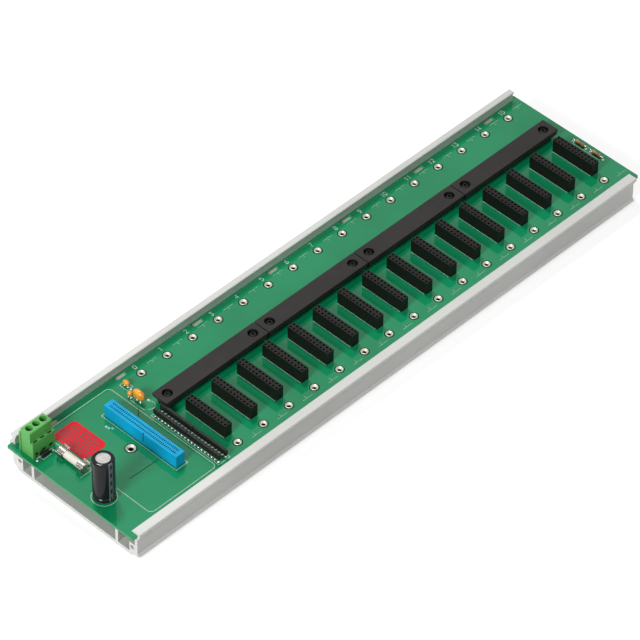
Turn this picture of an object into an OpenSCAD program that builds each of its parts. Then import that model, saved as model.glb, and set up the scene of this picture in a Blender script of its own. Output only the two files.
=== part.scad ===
// Sixteen-position mounting rack for plug-in modules.
// A long circuit board slides into an extruded aluminium tray that is open at
// both ends.  X runs along the tray, +Y points to the tall back rail, +Z is up
// and the origin is at the middle of the underside.

/* [Tray] */
// Height of the board's upper face above the underside
deck_z = 18.4; // [17:0.2:22]
// Thickness of the tray floor
floor_t = 2.4; // [2:0.1:2.6]
// Thickness of the front wall
front_wall_t = 1.8; // [1.5:0.1:2]
// Thickness of the back wall
back_wall_t = 2.2; // [1.8:0.1:2.4]
// Height of the back rail above the board
back_rail_h = 7; // [6:0.5:10]
// Height of the front lip above the board
front_lip_h = 1.2; // [1:0.1:2]
// Reach of the front lip over the board
front_lip_w = 6; // [5.5:0.1:6.5]
// Thickness of the two floor ribs
rib_t = 2; // [1.5:0.1:2.5]
// Gap between a floor rib and the standoffs beside it
rib_gap = 0.75; // [0.6:0.05:1.2]
// Metal left outside each edge of the board
slot_wall = 1.6; // [1.4:0.1:2.4]
// Bore of the screw ports in the two corners
port_d = 2.6; // [2:0.1:3]
// Run of the slope along the back lower edge
slope_run = 5.4; // [4:0.2:7]
// Rise of the slope along the back lower edge
slope_rise = 4; // [3:0.2:5]

/* [Circuit board] */
// Length of the board's power end, up to the first module
power_end_l = 89.1; // [88:0.1:92]
// Length of the board beyond the last module
far_end_l = 16.65; // [15:0.05:18]
// Reach of the board beyond each end of the tray
board_over = 3.5; // [2.5:0.1:5]
// Width of the board
board_w = 97; // [96.4:0.1:97.4]
// Thickness of the board
board_t = 1.6; // [1.4:0.1:1.8]
// Radius of the board's corners
board_r = 0.8; // [0.4:0.1:2]
// Play of the board in its two slots
slot_play = 0.1; // [0.05:0.05:0.2]
// Length of the windows along the board's back edge
window_l = 8; // [6:0.5:10]
// Width of the windows along the board's back edge
window_w = 3.2; // [2.5:0.1:3.6]

/* [Module positions] */
// Number of module positions
module_count = 16; // [4:4:16]
// Distance between neighbouring modules
module_pitch = 19.55; // [18.6:0.05:19.7]
// Distance from the board's edges to the hold-down holes
hole_in = 11.35; // [10.8:0.05:12]
// Outer diameter of a standoff's flared ring
flare_d = 4.5; // [4.2:0.1:4.8]
// Tapped bore of a standoff
tap_d = 2.2; // [1.8:0.1:2.6]
// Diameter of a standoff's body under the board
standoff_d = 6; // [5.6:0.1:6.4]
// Length of a standoff's body under the board
standoff_h = 6; // [4:0.5:9]

/* [Module sockets] */
// Distance between neighbouring contacts
pin_pitch = 2.54; // [2.5:0.01:2.58]
// Contacts in one row of a socket
pin_count = 12; // [8:1:12]
// Width of a socket
socket_w = 5; // [4.8:0.1:5.4]
// Height of a socket
socket_h = 8.5; // [7:0.5:10]
// Width of each square contact hole
contact_w = 1.2; // [0.8:0.05:1.3]
// Distance from the front hold-down holes to the sockets
socket_in = 6.97; // [6.4:0.01:7.4]

/* [Retention bars] */
// Number of retention bars
bar_count = 4; // [1:1:4]
// Width of a bar
bar_w = 11.8; // [10:0.1:12.5]
// Thickness of a bar
bar_t = 3.4; // [3:0.1:3.6]
// Height of a bar's upper face above the board
bar_top = 7; // [6.4:0.1:8]
// Gap between the sockets and the bars
bar_from_socket = 5.1; // [4.4:0.1:6]
// Distance from a bar's end to its screw
bar_screw_in = 6.3; // [6:0.1:8]
// Undercut at each end of a bar
bar_undercut = 2.2; // [0.5:0.1:2.4]
// Length of the foot at each end of a bar
bar_foot_l = 10.5; // [10:0.1:14]
// Gap between neighbouring bars
bar_gap = 0.4; // [0.2:0.1:1]
// Diameter of the counterbore for a screw head
screw_well_d = 6.2; // [5.6:0.1:6.6]
// Diameter of a screw head
screw_head_d = 5; // [4.4:0.1:5.4]
// Diameter of a screw's shank
screw_d = 2.8; // [2.5:0.1:3]

/* [Controller connector] */
// Length of the controller connector
conn_l = 55.5; // [54:0.5:57]
// Width of the controller connector
conn_w = 6.4; // [6:0.1:8]
// Height of the controller connector
conn_h = 8.4; // [7:0.1:10]
// Distance from the first module to the connector
conn_from_first = 33.6; // [32:0.1:36]
// Contacts in one row of the controller connector
conn_pins = 40; // [20:1:40]
// Distance between neighbouring contacts of the controller connector
conn_pitch = 1.27; // [1.2:0.01:1.3]
// Width of each contact slot of the controller connector
conn_slot = 0.6; // [0.4:0.05:0.7]
// Diameter of the controller standoff's ring
guide_d = 5.8; // [5:0.1:6.4]
// Bore of the controller standoff
guide_bore_d = 3; // [2.5:0.1:3.4]

/* [Resistor networks] */
// Length of one resistor network
sip_l = 24.9; // [24:0.1:25.2]
// Thickness of one resistor network
sip_t = 1.5; // [1.3:0.1:2]
// Height of one resistor network above the board
sip_h = 5.4; // [4.6:0.1:6]
// Pins of one resistor network
sip_pins = 10; // [6:1:10]
// Distance between the two rows of resistor networks
sip_row_gap = 5.08; // [4.6:0.02:5.08]

/* [Power entry] */
// Distance between neighbouring poles of the terminal block
pole_pitch = 5.08; // [5:0.02:5.2]
// Depth of the terminal block at the board
term_d = 10.8; // [10:0.1:11.4]
// Height of the terminal block
term_h = 17.8; // [16:0.2:20]
// Height of the terminal block's ledge
term_ledge_h = 11; // [10:0.1:12]
// Depth of the terminal block's ledge
term_ledge_d = 2; // [1.8:0.1:2.6]
// Diameter of the screw wells of the terminal block
term_well_d = 4.3; // [4:0.1:4.6]
// Diameter of the fuse
fuse_d = 5.2; // [5:0.1:5.6]
// Length of the fuse
fuse_l = 20; // [19:0.5:22]
// Length of a fuse end cap
fuse_cap_l = 5; // [4:0.5:6]
// Wall of a fuse end cap
fuse_cap_t = 0.3; // [0.2:0.05:0.4]
// Thickness of the fuse clips' strip
clip_t = 0.5; // [0.4:0.05:0.7]
// Diameter of the tall capacitor
can_d = 12.7; // [12:0.1:14]
// Height of the tall capacitor
can_h = 29.5; // [25:0.5:35]
// Wall of the tall capacitor's sleeve
sleeve_t = 0.3; // [0.2:0.05:0.5]

/* [Hidden] */

// a face that is cut through is passed by this much
cut = 1;

// ends of the board and of the tray
board_len = power_end_l + (module_count - 1) * module_pitch + far_end_l;
near_x = -board_len / 2;
far_x = board_len / 2;
first_x = near_x + power_end_l;                 // the first module
tray_len = board_len - 2 * board_over;
hole_span = board_w - 2 * hole_in;              // between front and back hold-down holes

// the tray's profile
front_y = -(board_w / 2 + slot_play + slot_wall);
back_y = -front_y;
lip_slope = 2;                                  // outer overhang of the front lip
foot_out = 1;                                   // small foot along the front wall
foot_z = 1.8;                                   // the front wall stops above the floor
front_wall_y = front_y + lip_slope;             // outer face of the front wall
front_in_y = front_wall_y + front_wall_t;       // inner face of the front wall
back_wall_y = back_y - 2.4;                     // outer face of the back wall
back_in_y = back_wall_y - back_wall_t;          // inner face of the back wall
rail_top_w = 4;                                 // width of the back rail's upper face
ledge_t = 1.8;                                  // ledges that carry the board
ledge_reach = 4.2;
deck_under = deck_z - board_t;                  // the board's lower face
slot_floor = deck_under;                        // the board rests on its ledges
slot_roof = deck_z + slot_play;                 // underside of what holds the board down
floor_front_y = front_in_y + 6;
floor_back_y = back_wall_y - slope_run - 2;
port_wall = 0.9;                                // metal beside a screw port
port_roof = 1.6;                                // metal above a screw port
front_port_in = 2.1;                            // from the wall to a port's middle
front_port_z = 6.4;
back_port_in = 3.2;
back_port_z = 8.4;
rib_y = hole_span / 2 - standoff_d / 2 - rib_gap - rib_t / 2;

// the board in its slots
board_front_y = -board_w / 2;
board_back_y = board_w / 2;
front_slot_y = board_front_y - slot_play;
back_slot_y = board_back_y + slot_play;
window_y = back_in_y - window_w / 2 - 0.2;
window_first_x = first_x - module_pitch / 2;
near_window_x = near_x + 28.7;

// module places, in board coordinates
socket_l = pin_count * pin_pitch;
socket_back_y = -hole_span / 2 + socket_in + socket_l;
function module_x(i) = first_x + i * module_pitch;
function pin_y(i) = socket_back_y - pin_pitch / 2 - i * pin_pitch;
contact_depth = 6;
tail_d = 0.9;
tail_h = 1.5;
neck_d = 4;                                     // standoff neck through the board
neck_play = 0.05;
flare_h = 0.5;                                  // flared ring above the board
dish_h = 1.2;                                   // depth of the flared mouth

// retention bars, each over a quarter of the module places
bar_modules = 4;
bar_period = bar_modules * module_pitch;
bar_l = bar_period - bar_gap;
bars_x = first_x - 11.6;
bar_y = socket_back_y + bar_from_socket + bar_w / 2;
bar_toe_h = 0.5;                                // the end faces stand upright up to here
bar_well_h = 2.2;
screw_play = 0.1;
screw_head_h = 1.6;
screw_socket_d = 2;
screw_socket_h = 0.9;
nut_d = 5.6;
nut_h = 2.2;
screw_len = bar_top - bar_well_h + board_t + nut_h + 0.6;

// controller connector and its standoff
conn_x = first_x - conn_from_first;
conn_y = 0;
conn_tail_h = 1.2;
conn_row = 2.4;                                 // distance between its two rows of slots
conn_slot_l = 1.3;
conn_slot_depth = 3;
conn_key_y = -2.6;
conn_key_z = 2;
conn_key_w = 1.2;
conn_key_d = 0.6;
guide_x = first_x - 43.6;
guide_neck_d = 5;
guide_body_d = 7;

// resistor networks stand in two rows of two
sip_x = first_x - 17.3;                         // row nearer the controller
sip_front_in = 7.35;                            // from the board's front edge
sip_gap = 0.5;
sip_y = -board_w / 2 + sip_front_in + sip_l + sip_gap / 2;
sip_lift = 1.8;                                 // the bodies stand on their pins
pin_d = 0.5;
fillet_d = 1.7;                                 // solder round a lead, on the board
fillet_h = 0.5;
sip_notch = 0.35;                               // dips between the bumps along the top
sip_notch_w = 0.7;

// terminal block
pole_count = 3;
term_side = 0.4;
term_l = pole_count * pole_pitch + 2 * term_side;
term_x = near_x + 2.9 + term_l / 2;
term_back_y = board_w / 2 - 6.8;
term_front_y = term_back_y - term_d;
term_step_d = 1.6;                              // the lower step at the block's back
term_step_h = 13.8;
term_top_front_y = term_front_y + term_ledge_d;
term_top_back_y = term_back_y - term_step_d;
term_well_y = (term_top_front_y + term_top_back_y) / 2;
clamp_w = 3.8;
clamp_d = 4.6;
clamp_h = 5;
clamp_z = 0.4;                                  // underside of the clamps above the board
clamp_play = 0.1;
entry_w = 2.6;
entry_h = 2.4;
test_slot_l = 2.8;
test_slot_w = 1.1;
test_slot_h = 3;
clamp_wall = 0.6;
clamp_pin_d = 2;
term_screw_play = 0.3;
term_screw_h = 9;
term_groove_w = 0.6;                            // upright groove in each end face
term_groove_d = 0.5;

// fuse
diode_y = term_front_y - 2.1;
fuse_x = near_x + 15.8;
fuse_y = diode_y - 14.8;
fuse_lift = 0.9;                                // underside of the fuse above the board
fuse_z = deck_z + fuse_lift + fuse_d / 2;
fuse_play = 0.05;
fuse_tube_d = fuse_d - 2 * (fuse_cap_t + fuse_play);
clip_l = 4.6;
clip_base_w = 4;
clip_open_z = 0.9;                              // the clip's mouth above the fuse's middle
clip_lip = 0.9;                                 // height of its flared lips
clip_flare = 0.6;

// tall capacitor
can_x = near_x + 10.9;
can_y = fuse_y - 29.6;
can_seal_h = 1.2;
can_round = 1.2;                                // rounding of the can's shoulder
can_lip = 1.9;
can_crimp_z = 3;
can_crimp_h = 1.2;
can_crimp_d = 0.5;
can_play = 0.05;

// dipped capacitors: place on the board, height of the middle, size of the bead
back_holes_y = hole_span / 2;
large_bead_at = [first_x - 15.6, back_holes_y - 14.25, 4.6];
large_bead = [4.6, 8.6, 6.4];
large_bead_span = 2.54;
medium_bead_at = [first_x - 16.9, back_holes_y - 8.75, 2.4];
medium_bead = [3, 3, 3.4];
medium_bead_span = 1.8;
small_bead_at = [first_x - 12.7, back_holes_y - 1.35, 2.5];
small_bead = [3, 4.6, 3.6];
small_bead_span = 2.54;
bead_lead_in = 0.8;                             // leads enter the bead by this much
lead_play = 0.05;

// diode and the two small resistors
diode_x = near_x + 9.6;
diode_d = 2.7;
diode_l = 5.2;
diode_z = 1.5;
diode_span = 11.4;                              // between its two pads
end_res_d = 2.3;
end_res_l = 6;
end_res_z = 1.3;
end_res_span = 9.6;
end_res_x = far_x - 4.3;
end_res_places = [socket_back_y - 20.5, socket_back_y - 7.5];

// warning label
label_x = near_x + 30.3;
label_y = diode_y - 4.9;
label_l = 25.8;
label_w = 17;
label_t = 0.15;
label_r = 2.4;

// ---------------------------------------------------------------- helpers

// box centred in x and y, standing on z
module block(x, y, z, size) {
    translate([x - size[0] / 2, y - size[1] / 2, z])
        cube(size);
}

// rectangle with round corners
module round_plate(size, r) {
    translate([r, 0])
        square([size[0] - 2 * r, size[1]]);
    translate([0, r])
        square([size[0], size[1] - 2 * r]);
    for (x = [r, size[0] - r])
        for (y = [r, size[1] - r])
            translate([x, y])
                circle(r = r, $fn = 48);
}

// places a profile drawn in the Y-Z plane along X
module along_x(len) {
    rotate([90, 0, 90])
        linear_extrude(height = len, center = true)
            children();
}

// ---------------------------------------------------------------- tray

// front wall: a C slot for the board, a sloped lip outside and a small foot
module front_wall_profile() {
    lip_z = deck_z + front_lip_h;
    lip_y = front_y + front_lip_w;
    ledge_y = front_in_y + ledge_reach;
    polygon([
        [front_wall_y, foot_z],
        [front_in_y, foot_z],
        [front_in_y, slot_floor - ledge_t],
        [ledge_y, slot_floor - ledge_t],
        [ledge_y, slot_floor],
        [front_slot_y, slot_floor],
        [front_slot_y, slot_roof],
        [lip_y, slot_roof],
        [lip_y, lip_z - 0.4],
        [lip_y - 0.4, lip_z],
        [front_y + 0.4, lip_z],
        [front_y, lip_z - 0.4],
        [front_y, deck_z - 0.6],
        [front_wall_y, deck_z - 4.5],
        [front_wall_y, foot_z + 1.8],
        [front_wall_y - foot_out, foot_z + 0.6],
        [front_wall_y - foot_out, foot_z]
    ]);
}

// step from the raised foot of the front wall down to the floor
module front_step_profile() {
    polygon([
        [front_wall_y, foot_z],
        [front_in_y + 1.4, foot_z],
        [front_in_y + 2.8, 0],
        [floor_front_y, 0],
        [floor_front_y, floor_t],
        [front_in_y + 3.8, floor_t],
        [front_in_y + 2.4, floor_t + foot_z],
        [front_wall_y, floor_t + foot_z]
    ]);
}

// back wall: a C slot for the board, a flared shoulder and the tall rail
module back_wall_profile() {
    rail_z = deck_z + back_rail_h;
    rail_in_y = back_in_y + 0.2;
    rail_out_y = back_y - 1.2;
    rail_tip_y = rail_out_y - rail_top_w;
    ledge_y = back_in_y - ledge_reach;
    polygon([
        [back_in_y, slope_rise + 1],
        [back_wall_y, slope_rise],
        [back_wall_y, slot_floor - 5.4],
        [back_y, slot_floor - 0.5],
        [back_y, deck_z + 0.6],
        [back_y - 2.4, deck_z + 4],
        [rail_out_y, deck_z + 5.4],
        [rail_out_y, rail_z - 0.4],
        [rail_out_y - 0.4, rail_z],
        [rail_tip_y + 0.4, rail_z],
        [rail_tip_y, rail_z - 0.4],
        [rail_tip_y, rail_z - 1.2],
        [rail_in_y, rail_z - 2.2],
        [rail_in_y, slot_roof],
        [back_slot_y, slot_roof],
        [back_slot_y, slot_floor],
        [ledge_y, slot_floor],
        [ledge_y, slot_floor - ledge_t],
        [back_in_y, slot_floor - ledge_t]
    ]);
}

// slope along the back lower edge
module back_slope_profile() {
    polygon([
        [back_wall_y - slope_run, 0],
        [back_wall_y, slope_rise],
        [back_wall_y, slope_rise + 2],
        [back_in_y, slope_rise + 2],
        [back_wall_y - slope_run - 1, floor_t],
        [floor_back_y, floor_t],
        [floor_back_y, 0]
    ]);
}

// block with a screw port in a lower corner, reaching inward from a wall
module port_profile(reach, z) {
    difference() {
        translate([-0.1, floor_t - 0.1])
            square([
                reach + port_d / 2 + port_wall + 0.1,
                z + port_d / 2 + port_roof - floor_t + 0.1
            ]);
        translate([reach, z])
            circle(d = port_d, $fn = 32);
    }
}

module tray_profile() {
    union() {
        translate([floor_front_y, 0])
            square([floor_back_y - floor_front_y, floor_t]);
        // the two ribs that keep the board from bowing
        for (side = [-1, 1])
            translate([side * rib_y - rib_t / 2, 0])
                square([rib_t, slot_floor]);
        front_wall_profile();
        front_step_profile();
        translate([front_in_y, 0])
            port_profile(front_port_in, front_port_z);
        back_wall_profile();
        back_slope_profile();
        translate([back_in_y, 0])
            mirror([1, 0])
                port_profile(back_port_in, back_port_z);
    }
}

module tray_extrusion() {
    color("gainsboro")
        along_x(tray_len)
            tray_profile();
}

// ---------------------------------------------------------------- circuit board

module module_places() {
    for (i = [0 : module_count - 1])
        translate([module_x(i), 0])
            children();
}

module bar_screw_places() {
    for (b = [0 : bar_count - 1])
        for (x = [bar_screw_in, bar_l - bar_screw_in])
            translate([bars_x + b * bar_period + x, bar_y])
                children();
}

// windows along the back edge, one to every third module and one by the terminals
module window_places() {
    for (k = [0 : 3 : module_count - 1])
        translate([window_first_x + k * module_pitch, window_y])
            children();
    translate([near_window_x, window_y])
        children();
}

module board_outline() {
    difference() {
        translate([-board_len / 2, -board_w / 2])
            round_plate([board_len, board_w], board_r);
        module_places()
            for (side = [-1, 1])
                translate([0, side * hole_span / 2])
                    circle(d = neck_d + 2 * neck_play, $fn = 32);
        translate([guide_x, conn_y])
            circle(d = guide_neck_d + 2 * neck_play, $fn = 32);
        bar_screw_places()
            circle(d = screw_d + 2 * screw_play, $fn = 32);
        window_places()
            square([window_l, window_w], center = true);
    }
}

module circuit_board() {
    color([0.05, 0.45, 0.28])
        translate([0, 0, deck_under])
            linear_extrude(height = board_t)
                board_outline();
}

// ---------------------------------------------------------------- module sockets

// socket with two rows of square contact holes in its top
module module_socket(index) {
    color([0.13, 0.13, 0.14])
        translate([module_x(index), 0, deck_z])
            difference() {
                translate([-socket_w / 2, socket_back_y - socket_l, 0])
                    cube([socket_w, socket_l, socket_h]);
                for (side = [-1, 1])
                    for (i = [0 : pin_count - 1])
                        block(
                            side * pin_pitch / 2, pin_y(i), socket_h - contact_depth,
                            [contact_w, contact_w, contact_depth + cut]
                        );
            }
}

// soldered ends of the socket contacts on the board's underside
module socket_solder_tails() {
    color("silver")
        module_places()
            for (side = [-1, 1])
                for (i = [0 : pin_count - 1])
                    translate([side * pin_pitch / 2, pin_y(i), deck_under - tail_h])
                        cylinder(d1 = tail_d * 0.6, d2 = tail_d, h = tail_h, $fn = 16);
}

// ---------------------------------------------------------------- retention bars

// bar standing on a foot at each end, its end faces undercut
module retention_bar(number) {
    color([0.2, 0.19, 0.19])
        translate([bars_x + (number - 1) * bar_period, bar_y, deck_z])
            difference() {
                rotate([90, 0, 0])
                    linear_extrude(height = bar_w, center = true)
                        polygon([
                            [bar_undercut, 0],
                            [bar_foot_l, 0],
                            [bar_foot_l, bar_top - bar_t],
                            [bar_l - bar_foot_l, bar_top - bar_t],
                            [bar_l - bar_foot_l, 0],
                            [bar_l - bar_undercut, 0],
                            [bar_l - bar_undercut, bar_toe_h],
                            [bar_l, bar_top],
                            [0, bar_top],
                            [bar_undercut, bar_toe_h]
                        ]);
                for (x = [bar_screw_in, bar_l - bar_screw_in])
                    translate([x, 0, 0]) {
                        translate([0, 0, -cut])
                            cylinder(d = screw_d + 2 * screw_play, h = bar_top, $fn = 32);
                        translate([0, 0, bar_top - bar_well_h])
                            cylinder(d = screw_well_d, h = bar_well_h + cut, $fn = 48);
                    }
            }
}

// button-head screws with a hexagon socket, one in each well
module bar_screws() {
    color([0.1, 0.1, 0.1])
        translate([0, 0, deck_z + bar_top - bar_well_h])
            bar_screw_places()
                difference() {
                    union() {
                        rotate_extrude($fn = 48)
                            polygon([
                                [0, 0],
                                [screw_head_d / 2, 0],
                                [screw_head_d / 2, screw_head_h * 0.45],
                                [screw_head_d / 2 - 0.5, screw_head_h * 0.85],
                                [screw_head_d / 2 - 1, screw_head_h],
                                [0, screw_head_h]
                            ]);
                        translate([0, 0, -screw_len])
                            cylinder(d = screw_d, h = screw_len + 0.1, $fn = 32);
                    }
                    translate([0, 0, screw_head_h - screw_socket_h])
                        cylinder(d = screw_socket_d, h = screw_socket_h + cut, $fn = 6);
                }
}

// hexagon nuts under the board, one on each screw
module bar_nuts() {
    color("silver")
        translate([0, 0, deck_under - nut_h])
            bar_screw_places()
                difference() {
                    cylinder(d = nut_d, h = nut_h, $fn = 6);
                    translate([0, 0, -cut])
                        cylinder(d = screw_d + 2 * screw_play, h = nut_h + 2 * cut, $fn = 32);
                }
}

// ---------------------------------------------------------------- standoffs

// standoff pressed in from below, its mouth flared over the board's upper face
module standoff(body_d, body_h, neck, ring_d, bore_d) {
    translate([0, 0, deck_z])
        rotate_extrude($fn = 48)
            polygon([
                [bore_d / 2, -board_t - body_h],
                [body_d / 2, -board_t - body_h],
                [body_d / 2, -board_t],
                [neck / 2, -board_t],
                [neck / 2, 0],
                [ring_d / 2, 0],
                [ring_d / 2, flare_h * 0.4],
                [ring_d / 2 - 0.3, flare_h],
                [bore_d / 2, flare_h - dish_h]
            ]);
}

module standoff_row(side) {
    color([0.8, 0.79, 0.75])
        module_places()
            translate([0, side * hole_span / 2])
                standoff(standoff_d, standoff_h, neck_d, flare_d, tap_d);
}

module back_standoffs() {
    standoff_row(1);
}

module front_standoffs() {
    standoff_row(-1);
}

module controller_standoff() {
    color([0.8, 0.79, 0.75])
        translate([guide_x, conn_y])
            standoff(guide_body_d, standoff_h, guide_neck_d, guide_d, guide_bore_d);
}

// ---------------------------------------------------------------- controller connector

// tall socket with two rows of fine slots and a key groove in its outer side
module controller_connector() {
    color([0, 0.58, 0.86])
        translate([conn_x, conn_y, deck_z])
            difference() {
                block(0, 0, 0, [conn_w, conn_l, conn_h]);
                for (side = [-1, 1])
                    for (i = [0 : conn_pins - 1])
                        block(
                            side * conn_row / 2,
                            (i - (conn_pins - 1) / 2) * conn_pitch,
                            conn_h - conn_slot_depth,
                            [conn_slot_l, conn_slot, conn_slot_depth + cut]
                        );
                block(-conn_w / 2, conn_key_y, conn_key_z, [2 * conn_key_d, conn_key_w, conn_h]);
            }
}

module connector_solder_tails() {
    color("silver")
        translate([conn_x, conn_y, deck_under - conn_tail_h])
            for (side = [-1, 1])
                for (i = [0 : conn_pins - 1])
                    translate([side * conn_row / 2, (i - (conn_pins - 1) / 2) * conn_pitch, 0])
                        cylinder(d = conn_slot, h = conn_tail_h, $fn = 16);
}

// ---------------------------------------------------------------- resistor networks

function sip_row_x(number) = sip_x + (number > 2 ? sip_row_gap : 0);
function sip_mid_y(number) = sip_y + (number % 2 == 1 ? 1 : -1) * (sip_l + sip_gap) / 2;

// flat upright package whose back follows the bumps of its elements
module resistor_network(number) {
    color([0.08, 0.08, 0.08])
        translate([sip_row_x(number), sip_mid_y(number), deck_z + sip_lift])
            difference() {
                block(0, 0, 0, [sip_t, sip_l, sip_h - sip_lift]);
                for (i = [0 : sip_pins])
                    block(
                        -sip_t / 2, (i - sip_pins / 2) * pin_pitch, sip_h - sip_lift - sip_notch,
                        [2 * sip_notch, sip_notch_w, 2 * sip_notch]
                    );
            }
}

// pins between the board and the packages, each in its solder
module network_pins() {
    color("silver")
        for (number = [1 : 4])
            for (i = [0 : sip_pins - 1])
                translate([
                    sip_row_x(number),
                    sip_mid_y(number) + (i - (sip_pins - 1) / 2) * pin_pitch,
                    deck_z
                ])
                    soldered_pin(sip_lift);
}

// a lead standing in a cone of solder on the board
module soldered_pin(h) {
    rotate_extrude($fn = 24)
        polygon([
            [0, 0],
            [fillet_d / 2, 0],
            [fillet_d / 2 - 0.3, fillet_h * 0.5],
            [pin_d / 2, fillet_h],
            [pin_d / 2, h],
            [0, h]
        ]);
}

// ---------------------------------------------------------------- power entry

module pole_places() {
    for (i = [0 : pole_count - 1])
        translate([term_x + (i - (pole_count - 1) / 2) * pole_pitch, 0, deck_z])
            children();
}

// stepped block: wire entries in front, screw wells in its top
module terminal_block() {
    color([0.3, 0.62, 0.36])
        difference() {
            translate([term_x, 0, deck_z])
                along_x(term_l)
                    polygon([
                        [term_front_y, 0],
                        [term_back_y, 0],
                        [term_back_y, term_step_h],
                        [term_top_back_y, term_step_h],
                        [term_top_back_y, term_h - 0.5],
                        [term_top_back_y - 0.5, term_h],
                        [term_top_front_y + 0.5, term_h],
                        [term_top_front_y, term_h - 0.5],
                        [term_top_front_y, term_ledge_h],
                        [term_front_y, term_ledge_h]
                    ]);
            pole_places() {
                block(
                    0, term_well_y, clamp_z - clamp_play,
                    [clamp_w + 2 * clamp_play, clamp_d + 2 * clamp_play, clamp_h + 2 * clamp_play]
                );
                translate([0, term_well_y, clamp_z + clamp_h])
                    cylinder(d = term_well_d, h = term_h, $fn = 48);
                translate([0, term_well_y, -cut])
                    cylinder(d = clamp_pin_d + 2 * clamp_play, h = clamp_z + cut, $fn = 32);
                block(
                    0, term_front_y, clamp_z + clamp_wall,
                    [entry_w, 2 * (term_well_y - term_front_y), entry_h]
                );
                block(
                    0, term_front_y + term_ledge_d / 2, term_ledge_h - test_slot_h,
                    [test_slot_l, test_slot_w, test_slot_h + cut]
                );
            }
            for (side = [-1, 1])
                block(
                    term_x + side * term_l / 2, term_top_back_y, deck_z - cut,
                    [2 * term_groove_d, term_groove_w, term_step_h + cut]
                );
        }
}

// slotted screws in the wells
module terminal_screws() {
    color("silver")
        pole_places()
            translate([0, term_well_y, clamp_z + clamp_h])
                difference() {
                    union() {
                        cylinder(d = term_well_d - term_screw_play, h = term_screw_h, $fn = 48);
                        translate([0, 0, -clamp_wall - 1])
                            cylinder(d = clamp_pin_d, h = clamp_wall + 1.1, $fn = 32);
                    }
                    block(0, 0, term_screw_h - 0.8, [term_well_d, 0.7, 0.8 + cut]);
                }
}

// metal cages that hold the wires, each on its pin
module terminal_clamps() {
    color("silver")
        pole_places()
            difference() {
                union() {
                    block(0, term_well_y, clamp_z, [clamp_w, clamp_d, clamp_h]);
                    translate([0, term_well_y, 0])
                        cylinder(d = clamp_pin_d, h = clamp_z + 0.1, $fn = 32);
                }
                block(
                    0, term_well_y, clamp_z + clamp_wall,
                    [clamp_w - 2 * clamp_wall, clamp_d + 2 * cut, clamp_h - 2 * clamp_wall]
                );
                translate([0, term_well_y, clamp_z + clamp_h / 2])
                    cylinder(d = clamp_pin_d + 2 * clamp_play, h = clamp_h, $fn = 32);
            }
}

module fuse_axis() {
    translate([fuse_x, fuse_y, fuse_z])
        rotate([90, 0, 0])
            children();
}

module fuse_tube() {
    color([0.93, 0.9, 0.82])
        fuse_axis()
            cylinder(d = fuse_tube_d, h = fuse_l - 2 * fuse_cap_t, center = true, $fn = 48);
}

module fuse_end_caps() {
    color("silver")
        fuse_axis()
            for (side = [0, 180])
                rotate([side, 0, 0])
                    translate([0, 0, fuse_l / 2])
                        rotate_extrude($fn = 48)
                            polygon([
                                [0, 0],
                                [fuse_d / 2 - 0.3, 0],
                                [fuse_d / 2, -0.3],
                                [fuse_d / 2, -fuse_cap_l],
                                [fuse_d / 2 - fuse_cap_t, -fuse_cap_l],
                                [fuse_d / 2 - fuse_cap_t, -fuse_cap_t],
                                [0, -fuse_cap_t]
                            ]);
}

function mirrored(points) = [
    for (i = [len(points) - 1 : -1 : 0]) [-points[i][0], points[i][1]]
];

// spring clip bent round a fuse end, open at the top
module clip_profile() {
    inner = fuse_d / 2 + fuse_play;
    outer = inner + clip_t;
    bend = tan(22.5);                           // half a side of the eight-sided bend
    lip_z = clip_open_z + clip_lip;
    outside = [
        [outer + clip_flare, lip_z],
        [outer, clip_open_z],
        [outer, -outer * bend],
        [clip_base_w / 2, clip_base_w / 2 - outer * (1 + bend)],
        [clip_base_w / 2, deck_z - fuse_z]
    ];
    inside = [
        [inner * bend, -inner],
        [inner, -inner * bend],
        [inner, clip_open_z],
        [inner + clip_flare, lip_z]
    ];
    polygon(concat(outside, mirrored(outside), mirrored(inside), inside));
}

module fuse_clips() {
    color("gainsboro")
        fuse_axis()
            for (side = [-1, 1])
                translate([0, 0, side * (fuse_l - clip_l) / 2])
                    linear_extrude(height = clip_l, center = true)
                        clip_profile();
}

// ---------------------------------------------------------------- tall capacitor

can_r = can_d / 2 - sleeve_t - can_play;
sleeve_r = can_d / 2;

// points of a rounded shoulder of radius round, over the given angles
function shoulder(r, top, round, angles) = [
    for (a = angles) [r - round + round * cos(a), top - round + round * sin(a)]
];

module capacitor_seal() {
    color([0.1, 0.1, 0.1])
        translate([can_x, can_y, deck_z])
            cylinder(d = 2 * can_r - 1.6, h = can_seal_h, $fn = 64);
}

// aluminium can with a crimp near its foot and a rounded shoulder
module capacitor_can() {
    color("silver")
        translate([can_x, can_y, deck_z])
            rotate_extrude($fn = 64)
                polygon(concat(
                    [
                        [0, can_seal_h],
                        [can_r, can_seal_h],
                        [can_r, can_crimp_z],
                        [can_r - can_crimp_d, can_crimp_z + can_crimp_h / 2],
                        [can_r, can_crimp_z + can_crimp_h]
                    ],
                    shoulder(can_r, can_h - sleeve_t, can_round, [0 : 22.5 : 90]),
                    [[0, can_h - sleeve_t]]
                ));
}

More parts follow.
